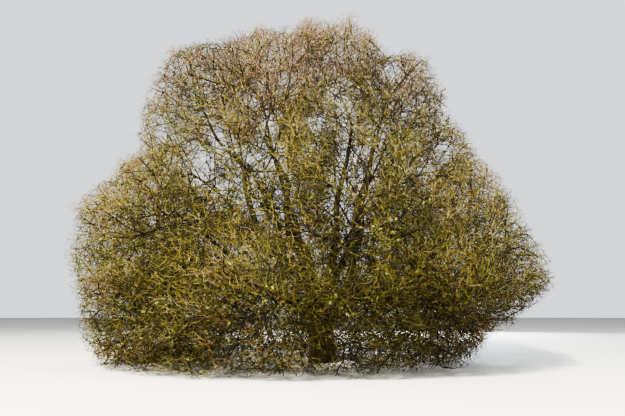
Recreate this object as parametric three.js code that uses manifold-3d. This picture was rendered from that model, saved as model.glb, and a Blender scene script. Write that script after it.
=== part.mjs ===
// An old oak in early spring: a short trunk under a broad crown of crooked boughs, whose
// almost bare twigs sweep down to the ground all round. Millimetres, +Z up, +X to the
// viewer's right, +Y away from the viewer. The origin is the middle of the trunk's flat cut.
import * as THREE from "three";
import { mergeVertices } from "three/addons/utils/BufferGeometryUtils.js";
import Module from "manifold-3d";

const wasm = await Module();
wasm.setup();

// Driving dimensions
const crownHeight = 12400; // the topmost twig over the ground
const crownReach = 8200; // the widest reach of the crown from its axis
const trunkRadius = 375;
const trunkHeight = 1900; // from the flat cut to the fork

// The crown's outline from the front: a height, and the reach to the left and right there.
const crownOutline = [
  [0, 7300, 4900], [1200, 7800, 6100], [2500, 8000, 7550], [4000, 8250, 7050],
  [5500, 8050, 6300], [7000, 6600, 5500], [8500, 6300, 4400], [9500, 6100, 4400],
  [10600, 5700, 3900], [11400, 4600, 3000], [12000, 2600, 1900], [crownHeight, 900, 1200],
];

// Trunk
const trunkLean = new THREE.Vector3(90, -30, trunkHeight); // from the cut to the fork
const trunkBow = 40;
const trunkTaper = 0.1; // share of its width that it loses on the way up
const flareReach = 0.42 * trunkRadius; // how far the roots spread beyond the trunk
const flareHeight = 420; // the flare is down to a third at this height
const flareLobes = 5;
const lobeDepth = 0.4; // share of the flare that comes and goes round the trunk
const forkSwell = 0.16 * trunkRadius;
const trunkSides = 20;
const trunkSteps = 7;

// Limbs
const seam = 0.3; // gap between two pieces that meet
const limbSides = 6;
const limbSteps = 6;
const limbTipRadius = 34;
const limbTaper = 0.9; // under 1, a limb thins faster near its foot
const crook = 0.05; // how far a limb strays from its curve, as a share of its length
const footPull = 0.38; // how long a limb keeps the way it starts in, as a share of its length
const tipPull = 0.3; // and the way it ends in
const footSpread = 0.35 * trunkRadius; // how far from the trunk's middle its limbs start
const limbEnd = 0.72; // where a limb stops short of its mass's middle, in half-sizes
const unevenness = 0.02; // of the masses' heights within a ring

// Twigs
const twigTipRadius = 11; // of a twig that carries no other, where it starts
const budShares = [0.3, 0.55, 0.8, 1]; // where along a twig others can leave it
const nearness = 0.55; // how much a new twig prefers a short way back to the stem
const twigDepths = [1, 0.92, 0.62, 1, 0.8]; // how far out the scattered points lie, in turn
const scatter = 0.07; // and how much nearer some of them lie
const stemLength = 0.45; // of a mass's half-size
const stemTaper = 0.8; // a mass's stem thins to this, and no twig of it is thicker
const twigClearance = 12; // least gap between a twig and a limb
const cellMargin = 30; // half the gap kept between two masses
const groundClearance = 90;

// Leaves, each standing for a spray
const leafLength = 340;
const leafWidth = 170;
const leafThickness = 16;

// The rings of twig masses. Heights are shares of the crown's height and the rest are shares
// of its reach. shift is where the ring's middle lies on X, deep its depth to its width,
// shoulder how much higher it lies at its two sides, tilt how much its left side is lifted,
// and half a mass's half-size outward, along the ring and upward. joint is where its limb
// leaves the limb or trunk that carries it, and lift how steeply it leaves.
const rings = [
  {
    name: "top", count: 2, turn: 0, height: 0.831, reach: 0.185, shift: -0.085, deep: 1,
    shoulder: 0, tilt: -0.027, half: [0.22, 0.26, 0.235],
    carriedBy: "trunk", joint: 0.93, limbRadius: 165, lift: 3, twigs: 23, leaves: 0,
  },
  {
    name: "upper", count: 5, turn: 180, height: 0.695, reach: 0.485, shift: -0.11, deep: 0.8,
    shoulder: 0.075, tilt: 0.01, half: [0.24, 0.34, 0.2],
    carriedBy: "trunk", joint: 0.9, limbRadius: 160, lift: 1.5, twigs: 22, leaves: 0,
  },
  {
    name: "middle", count: 6, turn: 0, height: 0.52, reach: 0.54, shift: -0.075, deep: 0.95,
    shoulder: 0.02, tilt: 0.02, half: [0.25, 0.36, 0.19],
    carriedBy: "upper", joint: 0.4, limbRadius: 78, lift: 0.4, twigs: 19, leaves: 2,
  },
  {
    name: "lower", count: 7, turn: 180, height: 0.345, reach: 0.77, shift: -0.082, deep: 0.95,
    shoulder: 0, tilt: 0.045, half: [0.26, 0.4, 0.185],
    carriedBy: "trunk", joint: 0.72, limbRadius: 120, lift: 0.55, twigs: 20, leaves: 4,
  },
  {
    name: "skirt", count: 7, turn: 206, height: 0.125, reach: 0.76, shift: -0.066, deep: 0.95,
    shoulder: 0.012, tilt: -0.025, half: [0.25, 0.42, 0.187],
    carriedBy: "lower", joint: 0.5, limbRadius: 62, lift: -0.3, twigs: 21, leaves: 3,
  },
  {
    name: "inner", count: 2, turn: 330, height: 0.5, reach: 0.22, shift: 0.02, deep: 1,
    shoulder: 0, tilt: 0, half: [0.23, 0.26, 0.16],
    carriedBy: "upper", joint: 0.3, limbRadius: 60, lift: 0.6, twigs: 18, leaves: 9,
  },
];

const bark = new THREE.MeshStandardMaterial({ color: 0x4a4031, roughness: 0.95, metalness: 0 });
const twigBark = new THREE.MeshStandardMaterial({ color: 0x7d6b4a, roughness: 0.9, metalness: 0 });
const up = new THREE.Vector3(0, 0, 1);

function seededRandom(seed) {
  let state = 1 + seed * 7919;
  return () => {
    state = (state * 48271) % 2147483647;
    return state / 2147483647;
  };
}

// Closed bodies from three.js geometry

function solidOf(geometry) {
  geometry.deleteAttribute("normal");
  geometry.deleteAttribute("uv");
  const merged = mergeVertices(geometry, 0.001);
  const corners = merged.index.array;
  const faces = [];
  for (let i = 0; i < corners.length; i += 3) {
    const [a, b, c] = corners.slice(i, i + 3);
    const isPointed = a === b || b === c || c === a;
    if (!isPointed) faces.push(a, b, c);
  }
  const vertProperties = Float32Array.from(merged.attributes.position.array);
  const triVerts = Uint32Array.from(faces);
  return new wasm.Manifold(new wasm.Mesh({ numProp: 3, vertProperties, triVerts }));
}

// Keeping only the largest body drops loose scraps and fills sealed hollows.
function largestBody(solid) {
  return solid.decompose().reduce((best, body) => (body.volume() > best.volume() ? body : best));
}

function meshOf(name, solid, material) {
  const { vertProperties, triVerts } = largestBody(solid).getMesh();
  const geometry = new THREE.BufferGeometry();
  geometry.setAttribute("position", new THREE.BufferAttribute(vertProperties, 3));
  geometry.setIndex(new THREE.BufferAttribute(triVerts, 1));
  geometry.computeVertexNormals();
  const mesh = new THREE.Mesh(geometry, material);
  mesh.name = name;
  return mesh;
}

// A tapering tube round a line of points, closed at both ends. A radius of 0 ends it in a point.
function tube(points, radii, sides) {
  const steps = points.length - 1;
  const geometry = new THREE.CylinderGeometry(1, 1, 1, sides, steps).rotateX(Math.PI / 2);
  const turns = points.map((_, i) => {
    const way = points[Math.min(i + 1, steps)].clone().sub(points[Math.max(i - 1, 0)]).normalize();
    return new THREE.Quaternion().setFromUnitVectors(up, way);
  });
  const position = geometry.attributes.position;
  const corner = new THREE.Vector3();
  for (let i = 0; i < position.count; i += 1) {
    corner.fromBufferAttribute(position, i);
    const ring = Math.round((corner.z + 0.5) * steps);
    corner.setZ(0).multiplyScalar(radii[ring]).applyQuaternion(turns[ring]).add(points[ring]);
    position.setXYZ(i, corner.x, corner.y, corner.z);
  }
  return solidOf(geometry);
}

// Trunk: taper, lean, a lobed root flare and a swelling under the fork

function trunkPoint(share) {
  const point = trunkLean.clone().multiplyScalar(share);
  point.x -= trunkBow * Math.sin(Math.PI * share);
  return point;
}

function trunkWidth(share, angle) {
  const flare = flareReach * Math.exp((-share * trunkHeight) / flareHeight);
  const lobes = 1 - lobeDepth + lobeDepth * Math.cos(flareLobes * angle + 1);
  return trunkRadius * (1 - trunkTaper * (share - 0.5)) + flare * lobes + forkSwell * share ** 4;
}

// skin thickens the trunk, to cut what grows out of it.
function trunkSolid(skin) {
  const geometry = new THREE.CylinderGeometry(1, 1, 1, trunkSides, trunkSteps).rotateX(Math.PI / 2);
  const position = geometry.attributes.position;
  for (let i = 0; i < position.count; i += 1) {
    const share = (position.getZ(i) + 0.5) ** 1.5;
    const angle = Math.atan2(position.getY(i), position.getX(i));
    const out = Math.hypot(position.getX(i), position.getY(i)) * (trunkWidth(share, angle) + skin);
    const middle = trunkPoint(share);
    const top = share === 1 ? skin : 0;
    position.setXYZ(i, middle.x + out * Math.cos(angle), middle.y + out * Math.sin(angle), middle.z + top);
  }
  return solidOf(geometry);
}

// The masses' places, ring by ring

function placeMasses() {
  return rings.flatMap((ring, ringNumber) => Array.from({ length: ring.count }, (_, i) => {
    const random = seededRandom(100 * ringNumber + i + 1);
    const angle = THREE.MathUtils.degToRad(ring.turn + (360 * i) / ring.count);
    const outward = new THREE.Vector3(Math.cos(angle), Math.sin(angle), 0);
    const rise = ring.height + ring.shoulder * outward.x ** 2 - ring.tilt * outward.x;
    const centre = new THREE.Vector3(
      (ring.shift + ring.reach * outward.x) * crownReach,
      ring.reach * ring.deep * outward.y * crownReach,
      (rise + (random() - 0.5) * unevenness) * crownHeight,
    );
    const along = new THREE.Vector3(-outward.y, outward.x, 0);
    const half = ring.half.map((share) => share * crownReach);
    return { ring, random, angle, outward, along, centre, half, name: `${ring.name}_${i + 1}` };
  }));
}

// Limbs

function limbLine(start, startWay, end, endWay, random) {
  const length = start.distanceTo(end);
  const bends = [
    start.clone().addScaledVector(startWay, footPull * length),
    end.clone().addScaledVector(endWay, -tipPull * length),
  ];
  const curve = new THREE.CubicBezierCurve3(start, ...bends, end);
  return Array.from({ length: limbSteps + 1 }, (_, i) => {
    const stray = new THREE.Vector3(random() - 0.5, random() - 0.5, random() - 0.5);
    const loose = i > 0 && i < limbSteps ? 2 * crook * length : 0;
    return curve.getPoint(i / limbSteps).addScaledVector(stray, loose);
  });
}

function pointOn(line, share) {
  const i = Math.min(Math.floor(share * limbSteps), limbSteps - 1);
  return line[i].clone().lerp(line[i + 1], share * limbSteps - i);
}

function limbWidth(mass, share) {
  return mass.ring.limbRadius + (limbTipRadius - mass.ring.limbRadius) * share ** limbTaper;
}

function limbSolid(mass, skin) {
  const radii = mass.line.map((_, i) => limbWidth(mass, i / limbSteps) + skin);
  return tube(mass.line, radii, limbSides);
}

function nearestByAngle(mass, others) {
  const turn = (other) => Math.abs(Math.sin((other.angle - mass.angle) / 2));
  return others.reduce((best, other) => (turn(other) < turn(best) ? other : best));
}

// Each mass has one limb. It leaves the trunk, or the nearest limb of the ring that carries it,
// and ends where it enters the mass.
function addLimb(mass, masses) {
  const { ring, random, centre } = mass;
  const carriers = masses.filter((other) => other.ring.name === ring.carriedBy);
  mass.carrier = carriers.length ? nearestByAngle(mass, carriers) : null;
  const start = mass.carrier ? pointOn(mass.carrier.line, ring.joint) : trunkPoint(ring.joint);
  const outward = centre.clone().sub(start).setZ(0).normalize();
  if (!mass.carrier) start.addScaledVector(outward, footSpread);
  const startWay = outward.clone().addScaledVector(up, ring.lift).normalize();
  const endWay = centre.clone().sub(start).normalize();
  const end = centre.clone().addScaledVector(endWay, -limbEnd * mass.half[0]);
  mass.line = limbLine(start, startWay, end, endWay, random);
  mass.stemWay = mass.line[limbSteps].clone().sub(mass.line[limbSteps - 1]).normalize();
}

// A limb is cut clear of what it grows from and of the limbs beside it.
function cutLimb(mass, earlier) {
  const beside = earlier.filter((other) => other === mass.carrier || other.carrier === mass.carrier);
  const solid = mass.carrier ? limbSolid(mass, 0) : limbSolid(mass, 0).subtract(trunkSolid(seam));
  return beside.reduce((left, other) => left.subtract(limbSolid(other, seam)), solid);
}

// Space tests

function inCell(mass, masses, point, thick) {
  const isClear = (other) => {
    const farther = other.centre.distanceToSquared(point) - mass.centre.distanceToSquared(point);
    return farther / (2 * mass.centre.distanceTo(other.centre)) > cellMargin + thick;
  };
  return point.z > groundClearance + thick && masses.every((other) => other === mass || isClear(other));
}

function gapBetween(a, b, c, d) {
  const [u, v, w] = [b.clone().sub(a), d.clone().sub(c), a.clone().sub(c)];
  const [uu, uv, vv, uw, vw] = [u.dot(u), u.dot(v), v.dot(v), u.dot(w), v.dot(w)];
  const clamp = (share) => THREE.MathUtils.clamp(share, 0, 1);
  const first = clamp((uv * vw - vv * uw) / Math.max(uu * vv - uv * uv, 1e-9));
  const onOther = clamp((uv * first + vw) / vv);
  const onOne = clamp((uv * onOther - uw) / uu);
  return w.addScaledVector(u, onOne).addScaledVector(v, -onOther).length();
}

function clearOfLimbs(masses, from, to, thick) {
  return masses.every((other) => other.line.slice(1).every((point, i) => {
    const least = limbWidth(other, i / limbSteps) + thick + twigClearance;
    return gapBetween(from, to, other.line[i], point) > least;
  }));
}

// Twigs: points scattered evenly over the mass and inside it, nearest first, each get a twig
// that starts at the best bud of those already grown.

function reachAt(height) {
  const level = Math.min(height, crownHeight);
  const above = crownOutline.findIndex(([top]) => top >= level);
  const [[low, ...lowReach], [high, ...highReach]] = crownOutline.slice(above - 1, above + 1);
  const rise = (level - low) / (high - low);
  return lowReach.map((reach, side) => THREE.MathUtils.lerp(reach, highReach[side], rise));
}

// A point outside the crown's outline is brought in to it, level with where it was.
function broughtIn(point) {
  const [left, right] = reachAt(point.z);
  const middle = (right - left) / 2;
  const share = Math.hypot(point.x - middle, point.y) / ((left + right) / 2);
  if (share > 1) point.set(middle + (point.x - middle) / share, point.y / share, point.z);
  return point;
}

function twigPoints(mass) {
  const { twigs } = mass.ring;
  const goldenAngle = Math.PI * (3 - Math.sqrt(5));
  const points = Array.from({ length: twigs }, (_, i) => {
    const level = 1 - (2 * i + 1) / twigs;
    const round = Math.sqrt(1 - level * level);
    const depth = twigDepths[i % twigDepths.length] * (1 - scatter * mass.random());
    const turn = i * goldenAngle + mass.angle;
    const point = mass.centre.clone()
      .addScaledVector(mass.outward, depth * mass.half[0] * round * Math.cos(turn))
      .addScaledVector(mass.along, depth * mass.half[1] * round * Math.sin(turn))
      .addScaledVector(up, depth * mass.half[2] * level);
    return broughtIn(point.setZ(Math.max(point.z, groundClearance + 2 * twigTipRadius)));
  });
  const foot = mass.line[limbSteps];
  return points.sort((a, b) => a.distanceTo(foot) - b.distanceTo(foot));
}

function bestBud(twigs, point) {
  const buds = twigs.flatMap((twig) => budShares.map((share) => {
    const place = twig.from.clone().lerp(twig.to, share);
    const way = twig.way + place.distanceTo(twig.from);
    return { twig, share, place, way, cost: place.distanceTo(point) + nearness * way };
  }));
  return buds.reduce((best, other) => (other.cost < best.cost ? other : best));
}

function growTwigs(mass, masses) {
  const foot = mass.line[limbSteps].clone().addScaledVector(mass.stemWay, seam);
  const stemEnd = foot.clone().addScaledVector(mass.stemWay, stemLength * mass.half[0]);
  const twigs = [{ from: foot, to: stemEnd, parent: null, way: 0 }];
  for (const point of twigPoints(mass)) {
    const bud = bestBud(twigs, point);
    const fits = inCell(mass, masses, point, twigTipRadius)
      && clearOfLimbs(masses, bud.place, point, 2 * twigTipRadius);
    if (fits) twigs.push({ from: bud.place, to: point, parent: bud.twig, share: bud.share, way: bud.way });
  }
  return twigs;
}

// A twig's section grows with the number of tips that it carries from there on.
function twigWidth(twig, twigs, share) {
  const carried = twigs.filter((other) => other.parent === twig && other.share >= share);
  return carried.reduce((sum, other) => sum + twigWidth(other, twigs, 0) ** 2, twigTipRadius ** 2) ** 0.5;
}

function twigSolid(twig, twigs) {
  const stemEndRadius = stemTaper * limbTipRadius;
  if (!twig.parent) return tube([twig.from, twig.to], [limbTipRadius, stemEndRadius], 4);
  const width = Math.min(twigWidth(twig, twigs, 0), stemEndRadius);
  const goesOn = twigs.some((other) => other.parent === twig && other.share === 1);
  const end = goesOn ? Math.min(twigWidth(twig, twigs, 1), 0.9 * width) : 0;
  return tube([twig.from, twig.to], [width, end], 3);
}

// A leaf has eight faces, and its root is sunk in the end of its twig.
function leafSolid(twig, turn) {
  const way = twig.to.clone().sub(twig.from).normalize();
  const root = twig.to.clone().addScaledVector(way, 0.3 * leafLength);
  const geometry = new THREE.OctahedronGeometry(1)
    .scale(leafWidth / 2, leafThickness / 2, leafLength / 2)
    .rotateZ(turn)
    .applyQuaternion(new THREE.Quaternion().setFromUnitVectors(up, way))
    .translate(root.x, root.y, root.z);
  return solidOf(geometry);
}

function leafFits(twig, mass, masses) {
  const way = twig.to.clone().sub(twig.from).normalize();
  const end = twig.to.clone().addScaledVector(way, leafLength);
  return inCell(mass, masses, end, leafWidth / 2) && clearOfLimbs(masses, twig.to, end, leafWidth / 2);
}

function massSolid(mass, masses) {
  const twigs = growTwigs(mass, masses);
  const isTip = (twig) => !twigs.some((other) => other.parent === twig && other.share === 1);
  const leafy = twigs.slice(1).filter((twig) => isTip(twig) && leafFits(twig, mass, masses));
  const leaves = leafy.slice(0, mass.ring.leaves).map((twig, i) => leafSolid(twig, i));
  const pieces = [...twigs.map((twig) => twigSolid(twig, twigs)), ...leaves];
  return pieces.reduce((whole, piece) => whole.add(piece));
}

const oak = new THREE.Group();
const masses = placeMasses();
oak.add(meshOf("trunk", trunkSolid(0), bark));
for (const mass of masses) addLimb(mass, masses);
masses.forEach((mass, i) => oak.add(meshOf(`bough_${mass.name}`, cutLimb(mass, masses.slice(0, i)), bark)));
for (const mass of masses) oak.add(meshOf(`twigs_${mass.name}`, massSolid(mass, masses), twigBark));

export default oak;
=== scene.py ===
import math
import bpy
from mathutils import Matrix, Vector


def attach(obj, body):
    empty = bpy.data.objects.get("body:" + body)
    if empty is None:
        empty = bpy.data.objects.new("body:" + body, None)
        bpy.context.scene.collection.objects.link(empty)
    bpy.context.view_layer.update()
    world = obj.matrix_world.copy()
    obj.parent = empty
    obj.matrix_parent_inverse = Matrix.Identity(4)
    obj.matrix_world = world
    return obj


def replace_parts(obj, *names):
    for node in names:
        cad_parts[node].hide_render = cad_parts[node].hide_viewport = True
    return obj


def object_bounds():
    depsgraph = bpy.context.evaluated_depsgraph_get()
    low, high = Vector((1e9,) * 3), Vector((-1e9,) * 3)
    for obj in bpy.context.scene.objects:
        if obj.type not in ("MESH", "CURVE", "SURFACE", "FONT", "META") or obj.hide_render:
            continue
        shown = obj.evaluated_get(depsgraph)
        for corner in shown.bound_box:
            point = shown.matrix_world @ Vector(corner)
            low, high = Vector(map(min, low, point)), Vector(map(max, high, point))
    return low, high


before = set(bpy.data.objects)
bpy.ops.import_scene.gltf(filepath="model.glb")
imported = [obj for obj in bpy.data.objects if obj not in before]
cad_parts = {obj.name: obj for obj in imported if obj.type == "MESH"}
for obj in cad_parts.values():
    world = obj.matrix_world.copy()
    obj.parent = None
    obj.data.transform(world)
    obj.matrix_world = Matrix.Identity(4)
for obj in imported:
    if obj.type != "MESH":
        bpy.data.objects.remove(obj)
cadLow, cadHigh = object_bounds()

from types import SimpleNamespace

import bmesh
import bpy
import numpy as np
from mathutils import Vector, noise

# An old oak in early spring. Metres, +Z up, the trunk's flat cut on the ground at the origin.
# The first part repeats the rule that the solids are grown by, so that bark, twigs and leaves
# start where the solids do. The later parts carry the same rule on to finer and finer twigs.


# Camera, floor and light

viewSettings = dict(place=(-0.33, -21.0, 1.6), pitch=9.85, lens=35.0, sensor=36.0, sight=500)


def makeCamera():
    data = bpy.data.cameras.new("viewer")
    data.lens = viewSettings["lens"]
    data.sensor_width = viewSettings["sensor"]
    data.clip_end = viewSettings["sight"]
    camera = bpy.data.objects.new("viewer", data)
    camera.location = viewSettings["place"]
    camera.rotation_euler = (math.radians(90 + viewSettings["pitch"]), 0, 0)
    bpy.context.scene.collection.objects.link(camera)
    bpy.context.scene.camera = camera


studioSettings = dict(
    floorSize=240, floorSides=96, floorColour=(0.36, 0.36, 0.35, 1), floorRoughness=0.95,
    skyColour=(0.84, 0.87, 0.92, 1), skyStrength=0.85, lampAim=(0, 0, 5),
    keyPlace=(-13, -32, 32), keySize=4, keyPower=105000, keyColour=(1.0, 0.93, 0.78),
    fillPlace=(24, -20, 12), fillSize=18, fillPower=5000, fillColour=(0.86, 0.92, 1.0),
    backPlace=(8, 36, 9), backSize=14, backPower=22000,
)


def makeLamp(name, place, size, power, colour):
    data = bpy.data.lights.new(name, "AREA")
    data.shape = "DISK"
    data.size = size
    data.energy = power
    data.color = colour
    lamp = bpy.data.objects.new(name, data)
    lamp.location = place
    aim = Vector(studioSettings["lampAim"]) - Vector(place)
    lamp.rotation_euler = aim.to_track_quat("-Z", "Y").to_euler()
    bpy.context.scene.collection.objects.link(lamp)


def makeStudio():
    s = studioSettings
    shape = bmesh.new()
    bmesh.ops.create_circle(shape, cap_ends=True, segments=s["floorSides"], radius=s["floorSize"])
    mesh = bpy.data.meshes.new("floor")
    shape.to_mesh(mesh)
    shape.free()
    floor = bpy.data.objects.new("floor", mesh)
    bpy.context.scene.collection.objects.link(floor)
    material = bpy.data.materials.new("paleFloor")
    material.use_nodes = True
    shader = material.node_tree.nodes["Principled BSDF"]
    shader.inputs["Base Color"].default_value = s["floorColour"]
    shader.inputs["Roughness"].default_value = s["floorRoughness"]
    mesh.materials.append(material)
    world = bpy.data.worlds.new("paleRoom")
    world.use_nodes = True
    light = world.node_tree.nodes["Background"]
    light.inputs["Color"].default_value = s["skyColour"]
    light.inputs["Strength"].default_value = s["skyStrength"]
    bpy.context.scene.world = world
    bpy.context.scene.view_settings.look = "AgX - Very High Contrast"
    makeLamp("keyLamp", s["keyPlace"], s["keySize"], s["keyPower"], s["keyColour"])
    makeLamp("fillLamp", s["fillPlace"], s["fillSize"], s["fillPower"], s["fillColour"])
    makeLamp("backLamp", s["backPlace"], s["backSize"], s["backPower"], s["fillColour"])


makeCamera()
makeStudio()
print("camera, floor and light are in place")


# The rule for limbs and first twigs, as in the solids

tree = dict(height=12.4, reach=8.2, trunkRadius=0.375, trunkHeight=1.9)

trunkSettings = dict(
    lean=(0.09, -0.03, tree["trunkHeight"]), bow=0.04, taper=0.1,
    flareReach=0.42 * tree["trunkRadius"], flareHeight=0.42, flareLobes=5, lobeDepth=0.4,
    forkSwell=0.16 * tree["trunkRadius"],
)

limbSettings = dict(
    steps=6, tipRadius=0.034, taper=0.9, crook=0.05, footPull=0.38, tipPull=0.3,
    footSpread=0.35 * tree["trunkRadius"], end=0.72, unevenness=0.02, seam=0.0003,
)

twigSettings = dict(
    tipRadius=0.011, budShares=(0.3, 0.55, 0.8, 1.0), nearness=0.55, depths=(1, 0.92, 0.62, 1, 0.8),
    scatter=0.07, stemLength=0.45, stemTaper=0.8, clearance=0.012, cellMargin=0.03, groundClearance=0.09,
)

# half is a mass's half-size outward, along its ring and upward, in shares of the crown's reach
ringSettings = [
    dict(name="top", count=2, turn=0, height=0.831, reach=0.185, shift=-0.085, deep=1,
         shoulder=0, tilt=-0.027, half=(0.22, 0.26, 0.235),
         carriedBy="trunk", joint=0.93, limbRadius=0.165, lift=3, twigs=23),
    dict(name="upper", count=5, turn=180, height=0.695, reach=0.485, shift=-0.11, deep=0.8,
         shoulder=0.075, tilt=0.01, half=(0.24, 0.34, 0.2),
         carriedBy="trunk", joint=0.9, limbRadius=0.16, lift=1.5, twigs=22),
    dict(name="middle", count=6, turn=0, height=0.52, reach=0.54, shift=-0.075, deep=0.95,
         shoulder=0.02, tilt=0.02, half=(0.25, 0.36, 0.19),
         carriedBy="upper", joint=0.4, limbRadius=0.078, lift=0.4, twigs=19),
    dict(name="lower", count=7, turn=180, height=0.345, reach=0.77, shift=-0.082, deep=0.95,
         shoulder=0, tilt=0.045, half=(0.26, 0.4, 0.185),
         carriedBy="trunk", joint=0.72, limbRadius=0.12, lift=0.55, twigs=20),
    dict(name="skirt", count=7, turn=206, height=0.125, reach=0.76, shift=-0.066, deep=0.95,
         shoulder=0.012, tilt=-0.025, half=(0.25, 0.42, 0.187),
         carriedBy="lower", joint=0.5, limbRadius=0.062, lift=-0.3, twigs=21),
    dict(name="inner", count=2, turn=330, height=0.5, reach=0.22, shift=0.02, deep=1,
         shoulder=0, tilt=0, half=(0.23, 0.26, 0.16),
         carriedBy="upper", joint=0.3, limbRadius=0.06, lift=0.6, twigs=18),
]

# the crown's outline from the front: a height, and the reach to the left and right there
crownOutline = np.array([
    (0.0, 7.3, 4.9), (1.2, 7.8, 6.1), (2.5, 8.0, 7.55), (4.0, 8.25, 7.05),
    (5.5, 8.05, 6.3), (7.0, 6.6, 5.5), (8.5, 6.3, 4.4), (9.5, 6.1, 4.4),
    (10.6, 5.7, 3.9), (11.4, 4.6, 3.0), (12.0, 2.6, 1.9), (12.4, 0.9, 1.2),
])

up = np.array([0.0, 0.0, 1.0])


def seededRandom(seed):
    state = 1 + seed * 7919

    def draw():
        nonlocal state
        state = state * 48271 % 2147483647
        return state / 2147483647

    return draw


def sizeOf(vectors):
    return np.sqrt((vectors * vectors).sum(-1))


def unit(vectors):
    return vectors / np.maximum(sizeOf(vectors), 1e-9)[..., None]


def trunkPoint(share):
    point = np.array(trunkSettings["lean"]) * share
    point[0] -= trunkSettings["bow"] * math.sin(math.pi * share)
    return point


def trunkWidth(share, angle):
    t = trunkSettings
    flare = t["flareReach"] * math.exp(-share * tree["trunkHeight"] / t["flareHeight"])
    lobes = 1 - t["lobeDepth"] + t["lobeDepth"] * math.cos(t["flareLobes"] * angle + 1)
    straight = tree["trunkRadius"] * (1 - t["taper"] * (share - 0.5))
    return straight + flare * lobes + t["forkSwell"] * share ** 4


def placeMasses():
    masses = []
    for ringNumber, ring in enumerate(ringSettings):
        for i in range(ring["count"]):
            random = seededRandom(100 * ringNumber + i + 1)
            angle = math.radians(ring["turn"] + 360 * i / ring["count"])
            outward = np.array([math.cos(angle), math.sin(angle), 0.0])
            rise = ring["height"] + ring["shoulder"] * outward[0] ** 2 - ring["tilt"] * outward[0]
            centre = np.array([
                (ring["shift"] + ring["reach"] * outward[0]) * tree["reach"],
                ring["reach"] * ring["deep"] * outward[1] * tree["reach"],
                (rise + (random() - 0.5) * limbSettings["unevenness"]) * tree["height"],
            ])
            masses.append(SimpleNamespace(
                name=f"{ring['name']}_{i + 1}", ring=ring, random=random, angle=angle, outward=outward,
                along=np.array([-outward[1], outward[0], 0.0]), centre=centre,
                half=np.array(ring["half"]) * tree["reach"],
            ))
    return masses


def limbLine(start, startWay, end, endWay, random):
    steps, crook = limbSettings["steps"], limbSettings["crook"]
    length = sizeOf(end - start)
    bendA = start + startWay * limbSettings["footPull"] * length
    bendB = end - endWay * limbSettings["tipPull"] * length
    line = []
    for i in range(steps + 1):
        t = i / steps
        point = ((1 - t) ** 3 * start + 3 * (1 - t) ** 2 * t * bendA
                 + 3 * (1 - t) * t ** 2 * bendB + t ** 3 * end)
        stray = np.array([random() - 0.5, random() - 0.5, random() - 0.5])
        line.append(point + stray * (2 * crook * length if 0 < i < steps else 0))
    return np.array(line)


def pointOn(line, share):
    steps = len(line) - 1
    i = min(int(share * steps), steps - 1)
    return line[i] + (line[i + 1] - line[i]) * (share * steps - i)


def limbWidth(mass, share):
    foot = mass.ring["limbRadius"]
    return foot + (limbSettings["tipRadius"] - foot) * share ** limbSettings["taper"]


def addLimb(mass, masses):
    ring = mass.ring
    carriers = [other for other in masses if other.ring["name"] == ring["carriedBy"]]
    mass.carrier = min(
        carriers, key=lambda other: abs(math.sin((other.angle - mass.angle) / 2)), default=None)
    start = pointOn(mass.carrier.line, ring["joint"]) if mass.carrier else trunkPoint(ring["joint"])
    outward = unit((mass.centre - start) * (1, 1, 0))
    if not mass.carrier:
        start = start + outward * limbSettings["footSpread"]
    startWay = unit(outward + up * ring["lift"])
    endWay = unit(mass.centre - start)
    end = mass.centre - endWay * limbSettings["end"] * mass.half[0]
    mass.line = limbLine(start, startWay, end, endWay, mass.random)
    mass.stemWay = unit(mass.line[-1] - mass.line[-2])


masses = placeMasses()
for mass in masses:
    addLimb(mass, masses)
massCentres = np.array([mass.centre for mass in masses])
limbFrom = np.concatenate([mass.line[:-1] for mass in masses])
limbTo = np.concatenate([mass.line[1:] for mass in masses])
limbThick = np.array([
    limbWidth(mass, i / limbSettings["steps"]) for mass in masses for i in range(limbSettings["steps"])])


# own is the number of the mass that each point belongs to
def inCell(own, points, thick=0.0):
    ownCentre = massCentres[own]
    ownWay = ((points - ownCentre) ** 2).sum(-1)[..., None]
    farther = ((points[..., None, :] - massCentres) ** 2).sum(-1) - ownWay
    between = 2 * sizeOf(ownCentre[..., None, :] - massCentres)
    isOwn = between < 1e-9
    clear = farther / np.where(isOwn, 1, between) > twigSettings["cellMargin"] + thick
    return (clear | isOwn).all(-1)


# the gap between each of the pieces a to b and the nearest limb's skin
def limbGap(a, b):
    u, v = (b - a)[..., None, :], limbTo - limbFrom
    w = a[..., None, :] - limbFrom
    uu, uv, vv = (u * u).sum(-1), (u * v).sum(-1), (v * v).sum(-1)
    uw, vw = (u * w).sum(-1), (v * w).sum(-1)
    first = np.clip((uv * vw - vv * uw) / np.maximum(uu * vv - uv * uv, 1e-15), 0, 1)
    onOther = np.clip((uv * first + vw) / vv, 0, 1)
    onOne = np.clip((uv * onOther - uw) / np.maximum(uu, 1e-12), 0, 1)
    gap = sizeOf(w + u * onOne[..., None] - v * onOther[..., None])
    return (gap - limbThick).min(-1)


# lowest is the least height of a twig, and skirtHang how much further the skirt hangs down to
# the ground than it stands up
crownSettings = dict(
    softness=0.8, skin=1.2, outline=1.01, lowest=0.04, lumpPace=2.8, lumpDepth=0.45, ragged=0.04,
    seenRagged=0.22, core=1.5, coreReach=0.8, coreFade=0.2, coreTop=12.5, lowFilling=0.7, lowTo=1.6,
    skirtHang=2.8,
)

massOutward = np.array([mass.outward for mass in masses])
massAlong = np.array([mass.along for mass in masses])
massHalf = np.array([mass.half for mass in masses])
inSkirt = [mass.ring["name"] == "skirt" for mass in masses]
massHang = np.where(inSkirt, crownSettings["skirtHang"], 1.0)


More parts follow.
